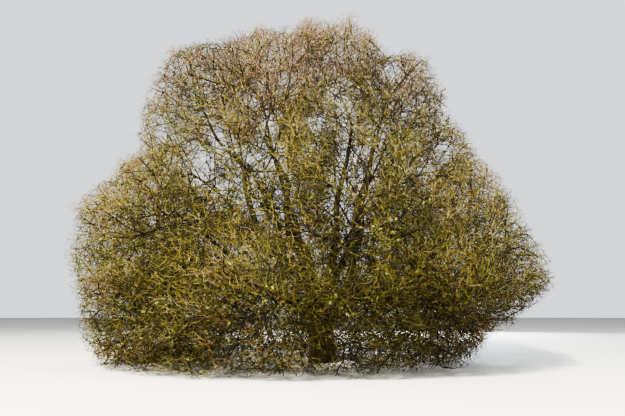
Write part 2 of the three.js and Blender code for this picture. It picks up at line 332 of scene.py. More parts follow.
# How far inside the crown a point lies: about 1.2 at its skin and more inside. Each mass adds
# its share, so that the crown also closes over the notch between two masses.
def fullness(points):
    away = points[..., None, :] - massCentres
    drop = np.where(away[..., 2] < 0, away[..., 2] / massHang, away[..., 2])
    parts = np.stack([(away * massOutward).sum(-1), (away * massAlong).sum(-1), drop], -1)
    depth = ((parts / massHalf) ** 2).sum(-1)
    return np.exp(crownSettings["softness"] * (1 - depth)).sum(-1)


# soft lumps and hollows in the crown's skin, from -1 to 1
def lumpiness(points):
    x, y, z = (crownSettings["lumpPace"] * points[..., k] for k in range(3))
    large = (np.sin(x + 1.2 * np.sin(0.6 * y)) + np.sin(y + 1.3 * np.sin(0.55 * z) + 2)
             + np.sin(z + 1.1 * np.sin(0.65 * x) + 4)) / 3
    small = np.sin(2.3 * x + 1.5 * np.sin(y)) * np.sin(2.1 * y + z) * np.sin(2.2 * z + x)
    return 0.7 * large + 0.5 * small


# Skin is how full of its masses the crown is at its edge, outline how far out that may be, and
# margin how far inside the outline that the photo shows. The core is full too, down to the
# ground, and so is the skirt near the ground.
def inCrown(own, points, skin, outline, margin, crossing=0.0):
    c = crownSettings
    lowest = np.array(cadLow) + (0, 0, c["lowest"])
    inBox = ((points > lowest) & (points < np.array(cadHigh))).all(-1)
    height, lumps, outward = points[..., 2], lumpiness(points), outwardShare(points)[1]
    core = c["core"] * np.clip((c["coreReach"] - outward) / c["coreFade"], 0, 1)
    core *= np.clip(c["coreTop"] - height, 0, 1)
    low = c["lowFilling"] * np.clip(1 - height / c["lowTo"], 0, 1)
    full = fullness(points) + core + low > skin + c["lumpDepth"] * lumps
    within = outward < outline - c["ragged"] * lumps
    within &= seenMargin(points) > margin + c["seenRagged"] * lumps
    return inBox & full & within & inCell(own, points, -crossing)


# Places where the crown is open and its boughs show through: where the line of sight
# meets the trunk's plane (across, up), how wide, and the share of the tufts that is left there.
openings = [
    (-4.3, 6.7, 0.9, 0.3), (-3.4, 7.5, 0.6, 0.4), (-2.5, 7.2, 0.6, 0.35), (-3.6, 5.8, 0.8, 0.4),
    (-4.7, 7.5, 0.5, 0.5), (-0.1, 8.4, 0.5, 0.3), (0.5, 9.4, 0.45, 0.3), (-0.4, 7.4, 0.4, 0.4),
    (1.4, 7.2, 0.45, 0.4), (2.6, 10.3, 0.45, 0.3), (4.3, 7.2, 0.5, 0.3), (3.6, 6.6, 0.4, 0.4),
    (-5.7, 8.0, 0.5, 0.4), (-2.6, 9.0, 0.4, 0.4), (-2.0, 6.4, 0.4, 0.4), (-1.3, 9.9, 0.4, 0.4),
    (3.1, 9.0, 0.35, 0.5), (-4.0, 9.4, 0.35, 0.5),
]


# The crown's outline as the photo shows it, in the trunk's plane: across and up, from the lower
# left over the top to the lower right and back along the ground in front.
seenOutline = np.array([
    (-7.6, 0.0), (-8.2, 0.7), (-8.45, 2.0), (-8.75, 4.3), (-8.7, 5.3), (-8.2, 5.9), (-7.6, 6.4),
    (-6.9, 7.0), (-6.4, 7.4), (-6.6, 8.3), (-6.4, 9.4), (-6.1, 10.1), (-5.8, 10.7), (-5.5, 11.15),
    (-4.5, 11.45), (-3.4, 11.5), (-2.6, 11.8), (-2.3, 12.05), (-1.2, 11.9), (-0.6, 12.3), (0.4, 12.15),
    (1.05, 12.5), (1.4, 12.05), (1.9, 11.7), (2.3, 10.95), (2.7, 11.0), (3.4, 11.15), (3.95, 10.7),
    (3.85, 10.3), (4.6, 9.25), (4.3, 8.9), (4.4, 8.5), (5.0, 8.25), (5.2, 7.7), (5.6, 7.1),
    (6.15, 6.85), (6.5, 5.8), (6.9, 4.8), (7.4, 4.3), (7.9, 3.2), (8.0, 2.5), (7.4, 1.45),
    (6.0, 1.1), (5.0, 0.1), (4.2, -0.4), (3.5, -0.8), (0.0, -1.0), (-5.5, -0.95), (-7.4, -0.7),
])
seenMiddle = np.array([-0.4, 4.5])


# where the viewer's line of sight to each point meets the trunk's plane
def seenPlace(points):
    eye = np.array(viewSettings["place"])
    sight = points - eye
    return (eye + sight * (-eye[1] / sight[..., 1])[..., None])[..., [0, 2]]


# how far inside the seen outline each point shows, in metres
def seenMargin(points):
    edge = seenOutline - seenMiddle
    edgeAngles, edgeReach = np.arctan2(edge[:, 1], -edge[:, 0]), np.hypot(edge[:, 0], edge[:, 1])
    order = np.argsort(edgeAngles)
    seen = seenPlace(points) - seenMiddle
    angles, reach = np.arctan2(seen[..., 1], -seen[..., 0]), np.hypot(seen[..., 0], seen[..., 1])
    return np.interp(angles, edgeAngles[order], edgeReach[order], period=2 * math.pi) - reach


# The crown is thinner along its highest boughs too, so that they show through it. The shares
# are those of a bough's length: the first, the last and how many.
gapSettings = dict(rings=("top", "upper"), shares=(0.42, 0.97, 12), width=0.42, kept=0.4)


def gapsAlong(mass):
    g = gapSettings
    places = [seenPlace(pointOn(mass.line, share)) for share in np.linspace(*g["shares"])]
    return [(*place, g["width"], g["kept"]) for place in places]


for mass in masses:
    if mass.ring["name"] in gapSettings["rings"]:
        openings += gapsAlong(mass)


# the share of the twigs that the openings leave at each point
def shareKept(points):
    onPlane = seenPlace(points)
    share = np.ones(points.shape[:-1])
    for across, height, width, kept in openings:
        away = np.hypot(onPlane[..., 0] - across, onPlane[..., 1] - height) / width
        share = np.minimum(share, kept + (1 - kept) * np.clip(2 * away - 1, 0, 1))
    return share


# the middle of the crown at a point's height, and how far out the point lies: 1 on the outline
def outwardShare(points):
    heights, left, right = crownOutline.T
    left = np.interp(points[..., 2], heights, left)
    right = np.interp(points[..., 2], heights, right)
    middle = (right - left) / 2
    return middle, np.hypot(points[..., 0] - middle, points[..., 1]) * 2 / (left + right)


# a point beyond the crown's outline moves in to it
def broughtIn(point):
    middle, share = outwardShare(point)
    if share > 1:
        point[:2] = middle + (point[0] - middle) / share, point[1] / share
    return point


def twigPoints(mass, count, depths, scatter, random):
    goldenAngle = math.pi * (3 - math.sqrt(5))
    points = []
    for i in range(count):
        level = 1 - (2 * i + 1) / count
        around = math.sqrt(1 - level * level)
        depth = depths[i % len(depths)] * (1 - scatter * random())
        turn = i * goldenAngle + mass.angle
        point = (mass.centre
                 + mass.outward * depth * mass.half[0] * around * math.cos(turn)
                 + mass.along * depth * mass.half[1] * around * math.sin(turn)
                 + up * depth * mass.half[2] * level)
        point[2] = max(point[2], twigSettings["groundClearance"] + 2 * twigSettings["tipRadius"])
        points.append(broughtIn(point))
    return sorted(points, key=lambda point: sizeOf(point - mass.line[-1]))


def growFirstTwigs(own, mass):
    t = twigSettings
    foot = mass.line[-1] + mass.stemWay * limbSettings["seam"]
    starts, ends = [foot], [foot + mass.stemWay * t["stemLength"] * mass.half[0]]
    ways, parents, leaves = [0.0], [-1], [0.0]
    shares = np.array(t["budShares"])
    for point in twigPoints(mass, mass.ring["twigs"], t["depths"], t["scatter"], mass.random):
        begin, finish = np.array(starts), np.array(ends)
        buds = begin[:, None] + (finish - begin)[:, None] * shares[None, :, None]
        way = np.array(ways)[:, None] + sizeOf(buds - begin[:, None])
        best = int(np.argmin(sizeOf(buds - point) + t["nearness"] * way))
        parent, share = divmod(best, len(shares))
        place = buds[parent, share]
        thick = t["tipRadius"]
        fits = (point[2] > t["groundClearance"] + thick
                and inCell(own, point, thick) and limbGap(place, point) > 2 * thick + t["clearance"])
        if fits:
            starts.append(place)
            ends.append(point)
            ways.append(way[parent, share])
            parents.append(parent)
            leaves.append(shares[share])
    mass.twigStart, mass.twigEnd = np.array(starts), np.array(ends)
    mass.twigWay, mass.twigParent, mass.twigShare = np.array(ways), parents, leaves


for own, mass in enumerate(masses):
    growFirstTwigs(own, mass)
print("limbs and first twigs:", sum(len(mass.twigStart) for mass in masses))


# Meshes of many small things

steep = 0.85  # a strand that rises more steeply takes its sides from X, not from Z


# Tapering strands, all with the same number of points. The last point of each is its tip.
def strandMesh(lines, radii, sides):
    count, steps = lines.shape[:2]
    ways = np.empty_like(lines)
    ways[:, 1:-1] = lines[:, 2:] - lines[:, :-2]
    ways[:, 0] = lines[:, 1] - lines[:, 0]
    ways[:, -1] = lines[:, -1] - lines[:, -2]
    ways = unit(ways)
    whole = unit(lines[:, -1] - lines[:, 0])
    upright = np.abs(whole[:, 2]) > steep
    reference = np.where(upright[:, None], [1.0, 0.0, 0.0], [0.0, 0.0, 1.0])
    across = unit(np.cross(ways, reference[:, None]))
    over = np.cross(ways, across)
    angles = 2 * math.pi * np.arange(sides) / sides
    ring = (across[:, :-1, None] * np.cos(angles)[:, None] + over[:, :-1, None] * np.sin(angles)[:, None])
    rings = lines[:, :-1, None] + ring * radii[:, :, None, None]
    places = np.concatenate([rings.reshape(count, -1, 3), lines[:, -1:]], 1)
    j = np.arange(sides)
    k = (j + 1) % sides
    faces = []
    for step in range(steps - 2):
        low, high = step * sides, (step + 1) * sides
        faces += [np.stack([low + j, low + k, high + k], 1), np.stack([low + j, high + k, high + j], 1)]
    last = (steps - 2) * sides
    faces.append(np.stack([last + j, last + k, np.full(sides, (steps - 1) * sides)], 1))
    faces = np.concatenate(faces)
    perStrand = (steps - 1) * sides + 1
    allFaces = faces[None] + (np.arange(count) * perStrand)[:, None, None]
    return places.reshape(-1, 3), allFaces.reshape(-1, 3), len(faces)


# meshes of one kind that end up joined in one piece
class Heap:

    def __init__(self):
        self.places, self.faces, self.tones, self.count = [], [], [], 0

    def add(self, places, faces, tones):
        self.places.append(places)
        self.faces.append(faces + self.count)
        self.tones.append(tones)
        self.count += len(places)

    def triangles(self):
        return sum(len(faces) for faces in self.faces)

    def piece(self, name, materials, smooth=True):
        places, faces, tones = map(np.concatenate, (self.places, self.faces, self.tones))
        mesh = bpy.data.meshes.new(name)
        mesh.vertices.add(len(places))
        mesh.vertices.foreach_set("co", places.astype(np.float32).ravel())
        mesh.loops.add(faces.size)
        mesh.loops.foreach_set("vertex_index", faces.astype(np.int32).ravel())
        mesh.polygons.add(len(faces))
        mesh.polygons.foreach_set("loop_start", np.arange(0, faces.size, 3, dtype=np.int32))
        mesh.polygons.foreach_set("material_index", tones.astype(np.int32))
        mesh.polygons.foreach_set("use_smooth", np.full(len(faces), smooth))
        for material in materials:
            mesh.materials.append(material)
        mesh.update(calc_edges=True)
        mesh.validate()
        made = bpy.data.objects.new(name, mesh)
        bpy.context.scene.collection.objects.link(made)
        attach(made, "root")
        return made


# Finer twigs

# Radii are in metres. A spread is how near and how far a tuft's points lie, in shares of its
# reach, and how wide it opens, in radians.
fineSettings = dict(
    seed=71, secondBend=0.6,
    stemSteps=4, stemCrook=0.08, stemSides=5, stemTip=0.016, mostTip=0.9, tipTaper=0.6, tipExtra=0.002,
    tries=6500, overreach=(1.35, 1.35, 1.5), tuftFullness=1.5, tuftOutline=0.985, tuftMargin=0.12,
    tipMargins=(-0.4, 0.12), tuftLowest=0.08,
    core=(-0.4, 0, 4.5), sparseness=0.28, sparseFrom=0.3, sparseMost=1.6, clumping=0.3,
    spacing={"top": 0.46, "upper": 0.48, "middle": 0.49, "lower": 0.45, "skirt": 0.38, "inner": 0.54},
    drawnShares=(1, 0.2, 9),
    branchletShares=(0.3, 0.5, 0.75, 1.0), branchletNearness=0.4, branchletCrook=0.09,
    branchletRadii=(0.016, 0.011), branchletTaper=0.8, branchletSides=4, branchletClearance=0.03,
    # the share of branchlets in the near-black tone of painted shade; the rest are olive-brown
    paintedShadeBranchlets=0.7,
    twigs=6, twigNearness=0.4, twigCrook=0.12, twigRadii=(0.0075, 0.0055),
    twigShares=(0.25, 0.5, 0.75, 1.0), twigSpread=(0.55, 1.0, 2.0),
    sprigs=37, sprigNearness=0.55, sprigRadius=0.0085, sprigShares=(0.35, 0.6),
    sprigSpread=(0.2, 1.12, 2.7), strays=0.5, crowding=0.6, straightOn=0.5,
    tuftReach=0.52, ahead=0.3, shortest=0.04, clearance=0.012, crossing=0.3,
)

# which way each ring's finest twigs turn: how far up, and how far out
leanings = {
    "top": (0.9, 0.5), "upper": (0.7, 0.6), "middle": (0.35, 0.8),
    "lower": (0.05, 0.9), "skirt": (-0.45, 0.8), "inner": (0.3, 0.3),
}


# lines with two random bends in them, and never lower than the crown may hang
def crookedLine(starts, ends, steps, crook, dice):
    shares = np.linspace(0, 1, steps + 1)
    length = sizeOf(ends - starts)[:, None, None]
    bends = dice.uniform(-1, 1, (2, len(starts), 1, 3))
    stray = (bends[0] * np.sin(math.pi * shares)[None, :, None]
             + fineSettings["secondBend"] * bends[1] * np.sin(2 * math.pi * shares)[None, :, None])
    lines = starts[:, None] + (ends - starts)[:, None] * shares[None, :, None] + stray * crook * length
    lines[..., 2] = np.maximum(lines[..., 2], crownSettings["lowest"])
    return lines


# the source's own widths: a twig's section grows with the number of tips that it carries
def firstWidths(mass):
    f = fineSettings
    count = len(mass.twigStart)
    most = twigSettings["stemTaper"] * limbSettings["tipRadius"]
    squares = np.full(count, f["stemTip"] ** 2)
    atEnd = squares.copy()
    for i in range(count - 1, 0, -1):
        parent = mass.twigParent[i]
        squares[parent] += squares[i]
        if mass.twigShare[i] == 1.0:
            atEnd[parent] += squares[i]
    foot = np.minimum(np.sqrt(squares), most)
    tip = np.minimum(np.sqrt(atEnd), f["mostTip"] * foot)
    foot[0], tip[0] = limbSettings["tipRadius"], most
    return foot, np.minimum(tip, foot * f["tipTaper"] + f["tipExtra"])


# Places for a mass's tufts: spread evenly through its cell, closer together on the crown's
# outer side, fewer at the openings, and the nearest to its limb first.
def tuftPlaces(own, mass, dice):
    f = fineSettings
    inside = dice.uniform(-1, 1, (f["tries"], 3)) * mass.half * f["overreach"]
    tries = mass.centre + inside @ np.array([mass.outward, mass.along, up])
    fits = inCrown(
        np.full(len(tries), own), tries, f["tuftFullness"], f["tuftOutline"], f["tuftMargin"])
    fits &= tries[:, 2] > f["tuftLowest"]
    outermost = unit(mass.centre - np.array(f["core"]))
    outer = ((tries - mass.centre) @ outermost) / mass.half.mean()
    inward = np.clip(f["sparseFrom"] - outer, 0, f["sparseMost"])
    spacing = f["spacing"][mass.ring["name"]] * (1 + f["sparseness"] * inward)
    spacing *= 1 + f["clumping"] * lumpiness(tries)
    chosen, gaps = [], []
    for point, gap in zip(tries[fits], spacing[fits]):
        if not chosen or (sizeOf(np.array(chosen) - point) > np.minimum(gap, gaps)).all():
            chosen.append(point)
            gaps.append(gap)
    chosen = np.array(chosen)
    left = chosen[dice.random_sample(len(chosen)) < shareKept(chosen)]
    return sorted(left, key=lambda point: sizeOf(point - mass.line[-1]))


# A first twig stops short where it would show outside the seen outline.
def drawnEnd(start, end):
    shares = np.linspace(*fineSettings["drawnShares"])
    tries = start + (end - start) * shares[:, None]
    inside = seenMargin(tries) > fineSettings["tuftMargin"]
    return tries[np.argmax(inside)] if inside.any() else tries[-1]


def growBranchlets(own, mass, dice):
    f = fineSettings
    count = len(mass.twigStart)
    lines = np.empty((count, f["stemSteps"] + 1, 3))
    starts = mass.twigStart.copy()
    for i in range(count):
        if i:
            starts[i] = pointOn(lines[mass.twigParent[i]], mass.twigShare[i])
        end = drawnEnd(starts[i], mass.twigEnd[i])
        crook = f["stemCrook"] * (i > 0)
        lines[i] = crookedLine(starts[i:i + 1], end[None], f["stemSteps"], crook, dice)[0]
    shares = np.array(f["branchletShares"])
    buds = np.concatenate([[pointOn(line, share) for share in shares] for line in lines])
    ways = np.concatenate([
        way + shares * sizeOf(line[-1] - line[0]) for way, line in zip(mass.twigWay, lines)])
    grown = []
    for point in tuftPlaces(own, mass, dice):
        cost = sizeOf(buds - point) + f["branchletNearness"] * ways
        best = int(np.argmin(cost))
        start, way = buds[best], ways[best]
        if limbGap(start, point) < f["branchletClearance"]:
            continue
        line = crookedLine(start[None], point[None], 2, f["branchletCrook"], dice)[0]
        grown.append(line)
        buds = np.concatenate([buds, line[1:]])
        ways = np.concatenate([ways, way + np.array([0.5, 1.0]) * sizeOf(point - start)])
    mass.stemLines, mass.branchlets = lines, np.array(grown)


# a tuft's points, spread round its branchlet's end and a little ahead of it
def tuftPoints(centres, ways, count, spread, dice):
    near, far = (share * fineSettings["tuftReach"] for share in spread[:2])
    wide = spread[2]
    goldenAngle = math.pi * (3 - math.sqrt(5))
    number = len(centres)
    i = np.arange(count)
    level = 1 - (1 - math.cos(wide)) * (i + 0.5) / count
    around = np.sqrt(1 - level * level)
    turn = i * goldenAngle + dice.uniform(0, 2 * math.pi, (number, 1))
    order = np.argsort(dice.random_sample((number, count)), 1)
    shares = np.take_along_axis(np.broadcast_to((i + 0.5) / count, (number, count)), order, 1)
    reach = near + (far - near) * shares ** fineSettings["crowding"]
    side = unit(np.cross(ways, np.where(np.abs(ways[:, 2:]) > steep, [1.0, 0, 0], [0, 0, 1.0])))
    over = np.cross(ways, side)
    away = (ways[:, None] * level[None, :, None]
            + side[:, None] * (around * np.cos(turn))[..., None]
            + over[:, None] * (around * np.sin(turn))[..., None])
    return centres[:, None] + away * reach[..., None]


def pointsOn(lines, share):
    steps = lines.shape[1] - 1
    i = min(int(share * steps), steps - 1)
    return lines[:, i] + (lines[:, i + 1] - lines[:, i]) * (share * steps - i)


def nearestFirst(points, centres):
    order = np.argsort(sizeOf(points - centres[:, None]), 1)
    return np.take_along_axis(points, order[..., None], 1)


# Every tuft grows one twig at each step: its nearest point still free joins the best bud.
# A twig that would leave its mass's space or touch a limb is skipped.
def growRound(own, buds, ways, points, nearness, shares, crook, dice):
    number, count = points.shape[:2]
    margin = dice.uniform(*fineSettings["tipMargins"], (number, 1))
    free = inCrown(
        np.repeat(own[:, None], count, 1), points, crownSettings["skin"], crownSettings["outline"],
        margin, fineSettings["crossing"])
    free &= dice.random_sample(free.shape) < np.sqrt(shareKept(points))
    rows = np.arange(number)
    lines, tuftOf = [], []
    for k in range(count):
        point = points[:, k]
        best = np.argmin(sizeOf(buds - point[:, None]) + nearness * ways, 1)
        start, way = buds[rows, best], ways[rows, best]
        length = sizeOf(point - start)
        fits = free[:, k] & (length > fineSettings["shortest"])
        fits &= limbGap(start, point) > fineSettings["clearance"]
        line = crookedLine(start, point, 2, crook, dice) if crook else np.stack([start, point], 1)
        added = np.stack([pointsOn(line, share) for share in shares], 1)
        addedWays = way[:, None] + np.array(shares) * length[:, None]
        addedWays[~fits] = 1e6  # a skipped twig's buds are too far off to be chosen
        buds, ways = np.concatenate([buds, added], 1), np.concatenate([ways, addedWays], 1)
        lines.append(line[fits])
        tuftOf.append(rows[fits])
    return np.concatenate(lines), np.concatenate(tuftOf), buds, ways


noise.seed_set(fineSettings["seed"])
dice = np.random.RandomState(fineSettings["seed"])
for own, mass in enumerate(masses):
    growBranchlets(own, mass, dice)
print("branchlets:", sum(len(mass.branchlets) for mass in masses))


def growTufts():
    f = fineSettings
    ends = np.concatenate([mass.branchlets[:, -1] for mass in masses])
    kinks = np.concatenate([mass.branchlets[:, 1] for mass in masses])
    own = np.repeat(np.arange(len(masses)), [len(mass.branchlets) for mass in masses])
    lean = np.array([leanings[mass.ring["name"]] for mass in masses])[own]
    outward = unit((ends - massCentres[own]) / massHalf[own])
    straight = f["straightOn"] * unit(ends - kinks)
    ways = unit(up * lean[:, :1] + outward * lean[:, 1:] + straight)
    middles = ends + ways * f["ahead"] * f["tuftReach"]
    buds = np.stack([ends, (ends + kinks) / 2, kinks], 1)
    last = sizeOf(ends - kinks)
    back = np.stack([last, last / 2, last * 0], 1)
    points = nearestFirst(tuftPoints(middles, ways, f["twigs"], f["twigSpread"], dice), ends)
    twigs, twigTuft, buds, back = growRound(
        own, buds, back, points, f["twigNearness"], f["twigShares"], f["twigCrook"], dice)
    points = nearestFirst(tuftPoints(middles, ways, f["sprigs"], f["sprigSpread"], dice), ends)
    sprigs, sprigTuft, buds, back = growRound(
        own, buds, back, points, f["sprigNearness"], f["sprigShares"], 0, dice)
    return SimpleNamespace(own=own, ends=ends, ways=ways, twigs=twigs, twigTuft=twigTuft,
                           sprigs=sprigs, sprigTuft=sprigTuft)


tufts = growTufts()
print("tufts:", len(tufts.ends), "twigs:", len(tufts.twigs), "sprigs:", len(tufts.sprigs))


# Finishes

def addNode(tree, kind, **values):
    node = tree.nodes.new(kind)
    for name, value in values.items():
        setattr(node, name, value)
    return node


def setInputs(node, **values):
    for name, value in values.items():
        node.inputs[name].default_value = value
    return node


def newGroup(name, inputs, outputs):
    group = bpy.data.node_groups.new(name, "ShaderNodeTree")
    for label, kind, value in inputs:
        socket = group.interface.new_socket(name=label, in_out="INPUT", socket_type=kind)
        if value is not None:
            socket.default_value = value
    for label, kind in outputs:
        group.interface.new_socket(name=label, in_out="OUTPUT", socket_type=kind)
    return group, group.nodes.new("NodeGroupInput"), group.nodes.new("NodeGroupOutput")


# a fine uneven grain: its height for a bump, and a roughness that comes and goes with it
def makeGrainGroup():
    group, given, made = newGroup(
        "fineGrain",
        [("Place", "NodeSocketVector", None), ("Size", "NodeSocketFloat", 60.0),
         ("Dull", "NodeSocketFloat", 0.95), ("Worn", "NodeSocketFloat", 0.7)],
        [("Height", "NodeSocketFloat"), ("Roughness", "NodeSocketFloat")])
    grain = setInputs(group.nodes.new("ShaderNodeTexNoise"), Detail=3.0, Roughness=0.6)
    spread = setInputs(group.nodes.new("ShaderNodeMapRange"), **{"From Min": 0.3, "From Max": 0.7})
    link = group.links.new
    link(given.outputs["Place"], grain.inputs["Vector"])
    link(given.outputs["Size"], grain.inputs["Scale"])
    link(grain.outputs["Fac"], spread.inputs["Value"])
    link(given.outputs["Dull"], spread.inputs["To Min"])
    link(given.outputs["Worn"], spread.inputs["To Max"])
    link(grain.outputs["Fac"], made.inputs["Height"])
    link(spread.outputs["Result"], made.inputs["Roughness"])
    return group


grainGroup = makeGrainGroup()


def newMaterial(name):
    material = bpy.data.materials.new(name)
    material.use_nodes = True
    return material, material.node_tree, material.node_tree.nodes["Principled BSDF"]


# One plain colour of twig or leaf. What varies over it is its grain: sprays differ in colour.
def grainyMaterial(name, colour, size, strength, dull=0.95, worn=0.7, shine=0.15):
    material, nodes, shader = newMaterial(name)
    shader.inputs["Base Color"].default_value = (*colour, 1)
    shader.inputs["Specular IOR Level"].default_value = shine
    place = nodes.nodes.new("ShaderNodeTexCoord")
    grain = addNode(nodes, "ShaderNodeGroup", node_tree=grainGroup)
    setInputs(grain, Size=size, Dull=dull, Worn=worn)
    bump = setInputs(nodes.nodes.new("ShaderNodeBump"), Strength=strength, Distance=0.002)
    link = nodes.links.new
    link(place.outputs["Object"], grain.inputs["Place"])
    link(grain.outputs["Roughness"], shader.inputs["Roughness"])
    link(grain.outputs["Height"], bump.inputs["Height"])
    link(bump.outputs["Normal"], shader.inputs["Normal"])
    return material


# Pieces of twigs

# The darkest tone here is painted shade: near-black twigs that stand for the shaded inside of the crown.
twigTones = {
    "mauveBrown": (0.1, 0.074, 0.056), "rustBrown": (0.1, 0.055, 0.026),
    "greyBrown": (0.104, 0.085, 0.063), "buffLichen": (0.15, 0.125, 0.063),
    "goldenOlive": (0.1, 0.086, 0.021), "oliveBrown": (0.066, 0.061, 0.018),
    "paintedShadeBrown": (0.022, 0.017, 0.01),
}

# shares of the tones among each ring's tufts; the near-black share is painted shade, largest in the inner
# ring
toneShares = {
    "top": dict(mauveBrown=3.5, rustBrown=2.8, greyBrown=2.2, buffLichen=0.5, oliveBrown=1, paintedShadeBrown=4.2),
    "upper": dict(mauveBrown=3, rustBrown=2.8, greyBrown=2.2, buffLichen=0.5, oliveBrown=1.6, paintedShadeBrown=5),
    "middle": dict(mauveBrown=1.8, rustBrown=2.2, greyBrown=1.6, buffLichen=0.6, goldenOlive=1.6,
                   oliveBrown=2.6, paintedShadeBrown=5),
    "lower": dict(mauveBrown=0.6, rustBrown=1.7, greyBrown=1.3, buffLichen=0.9, goldenOlive=2.8,
                  oliveBrown=2.5, paintedShadeBrown=4.5),
    "skirt": dict(rustBrown=1.8, greyBrown=1.3, buffLichen=1, goldenOlive=2.8, oliveBrown=2.5,
                  paintedShadeBrown=4.5),
    "inner": dict(goldenOlive=1, oliveBrown=3, paintedShadeBrown=5),
}

twigMaterials = {
    name: grainyMaterial(name, colour, size=90.0, strength=0.5) for name, colour in twigTones.items()}
toneNames = list(twigTones)


# Regions, from -1 to 1, shift the deal, so that neighbouring sprays are more alike. Chance and
# region are their parts in it.
dealSettings = dict(chance=0.6, least=0.2, region=0.2, regionPace=0.4, regionDepth=1.6)


def dealTones(own, regions):
    rings = np.array([ringSettings.index(mass.ring) for mass in masses])[own]
    d = dealSettings
    throws = d["chance"] * dice.random_sample(len(own)) + d["least"] + d["region"] * regions
    dealt = np.zeros(len(own), int)
    for number, ring in enumerate(ringSettings):
        shares = toneShares[ring["name"]]
        weights = np.array([shares.get(name, 0.0) for name in toneNames])
        mine = rings == number
        dealt[mine] = np.searchsorted(np.cumsum(weights / weights.sum()), throws[mine])
    return np.minimum(dealt, len(toneNames) - 1)


# most twigs of a tuft share its tone, and some stray from it
def tonesOf(tuftNumbers):
    strays = dice.random_sample(len(tuftNumbers)) < fineSettings["strays"]
    others = dealTones(tufts.own[tuftNumbers], tuftRegions[tuftNumbers])
    return np.where(strays, others, tuftTones[tuftNumbers])


tuftRegions = dealSettings["regionDepth"] * lumpiness(dealSettings["regionPace"] * tufts.ends)
tuftRegions = np.clip(tuftRegions, -1, 1)
tuftTones = dealTones(tufts.own, tuftRegions)
twigToneOf = tonesOf(tufts.twigTuft)
sprigToneOf = tonesOf(tufts.sprigTuft)


def heapStrands(heap, lines, radii, sides, tones):
    places, faces, perStrand = strandMesh(lines, radii, sides)
    heap.add(places, faces, np.repeat(tones, perStrand))


# one more point on each line, where its strand comes to its tip
def addTip(lines, radii):
    way = unit(lines[:, -1] - lines[:, -2])
    return np.concatenate([lines, (lines[:, -1] + way * 2 * radii[:, -1:])[:, None]], 1)


def heapMass(heap, own, mass):
    f = fineSettings
    foot, tip = firstWidths(mass)
    shares = np.linspace(0, 1, f["stemSteps"] + 1)
    radii = foot[:, None] + (tip - foot)[:, None] * shares
    # all first twigs, and most branchlets, take the near-black tone of painted shade
    dark = toneNames.index("paintedShadeBrown")
    olive = toneNames.index("oliveBrown")
    heapStrands(heap, addTip(mass.stemLines, radii), radii, f["stemSides"], np.full(len(foot), dark))
    count = len(mass.branchlets)
    thick, thin = f["branchletRadii"]
    radii = np.tile(np.array([thick, thin, thin * f["branchletTaper"]]), (count, 1))
    tones = np.where(dice.random_sample(count) < f["paintedShadeBranchlets"], dark, olive)
    heapStrands(heap, addTip(mass.branchlets, radii), radii, f["branchletSides"], tones)
    mine = tufts.own[tufts.twigTuft] == own
    lines = tufts.twigs[mine]
    radii = np.tile(np.array(f["twigRadii"]), (len(lines), 1))
    heapStrands(heap, lines, radii, 3, twigToneOf[mine])
    mine = tufts.own[tufts.sprigTuft] == own
    lines = tufts.sprigs[mine]
    radii = np.full((len(lines), 1), f["sprigRadius"])
    heapStrands(heap, lines, radii, 3, sprigToneOf[mine])


mostTriangles = 190000  # in one piece of twigs


def makeTwigPieces():
    total = 0
    for ring in ringSettings:
        heap, nodes, part = Heap(), [], 1
        mine = [(own, mass) for own, mass in enumerate(masses) if mass.ring is ring]
        for own, mass in mine:
            single = Heap()
            heapMass(single, own, mass)
            if heap.triangles() + single.triangles() > mostTriangles:
                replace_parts(heap.piece(f"twigs-{ring['name']}-{part}", twigMaterials.values()), *nodes)
                total += heap.triangles()
                heap, nodes, part = Heap(), [], part + 1
            for places, faces, tones in zip(single.places, single.faces, single.tones):
                heap.faces.append(faces + heap.count)
                heap.places.append(places)
                heap.tones.append(tones)
            heap.count += single.count
            nodes.append("twigs_" + mass.name)
        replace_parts(heap.piece(f"twigs-{ring['name']}-{part}", twigMaterials.values()), *nodes)
        total += heap.triangles()
    return total


print("triangles of twigs:", makeTwigPieces())


# Trunk and boughs with the bark's relief

barkSettings = dict(
    trunkSides=112, trunkRings=80, plateAcross=0.07, plateAlong=0.26, furrow=0.016,
    plateLevel=0.8, crackWidth=0.35, warp=0.35, warpScale=0.8, grain=0.35, grainScale=3,
    boughSides=16, thinSides=14, boughRing=0.12, leastRings=24, boughRelief=0.07,
    boughPlates=(0.055, 0.2), boughPlateLevel=0.7, boughLumps=1.6, lumpScale=(4, 4, 2.2),
    collar=0.35, collarReach=0.3, patternStep=3.7,
)


# how high the bark stands at a place: 0 in a furrow and about 1 on a plate
def furrowDepth(place, across, along):
    b = barkSettings
    spot = Vector((place[0] / across, place[1] / across, place[2] / along))
    spot += b["warp"] * noise.noise_vector(spot * b["warpScale"])
    near = noise.voronoi(spot)[0]
    crack = min((near[1] - near[0]) / b["crackWidth"], 1.0)
    return crack * crack * (3 - 2 * crack) + b["grain"] * noise.noise(spot * b["grainScale"])


# Wraps a grid into a tube. place(share, angle) gives a point's place, and straight its place on the
# limb as if that were straight, which the bark's pattern follows.
def wrapTube(sides, rings, place, straight):
    shape = bmesh.new()
    bmesh.ops.create_grid(shape, x_segments=sides, y_segments=rings, size=0.5)
    mark = shape.verts.layers.float_vector.new("barkPlace")
    for vert in shape.verts:
        angle, share = 2 * math.pi * (vert.co.x + 0.5), vert.co.y + 0.5
        vert[mark] = straight(share, angle)
        vert.co = place(share, angle)
    bmesh.ops.remove_doubles(shape, verts=shape.verts, dist=0.0001)
    rims = [edge for edge in shape.edges if edge.is_boundary]
    bmesh.ops.holes_fill(shape, edges=rims, sides=0)
    bmesh.ops.recalc_face_normals(shape, faces=shape.faces)
    for face in shape.faces:
        face.smooth = True
    return shape


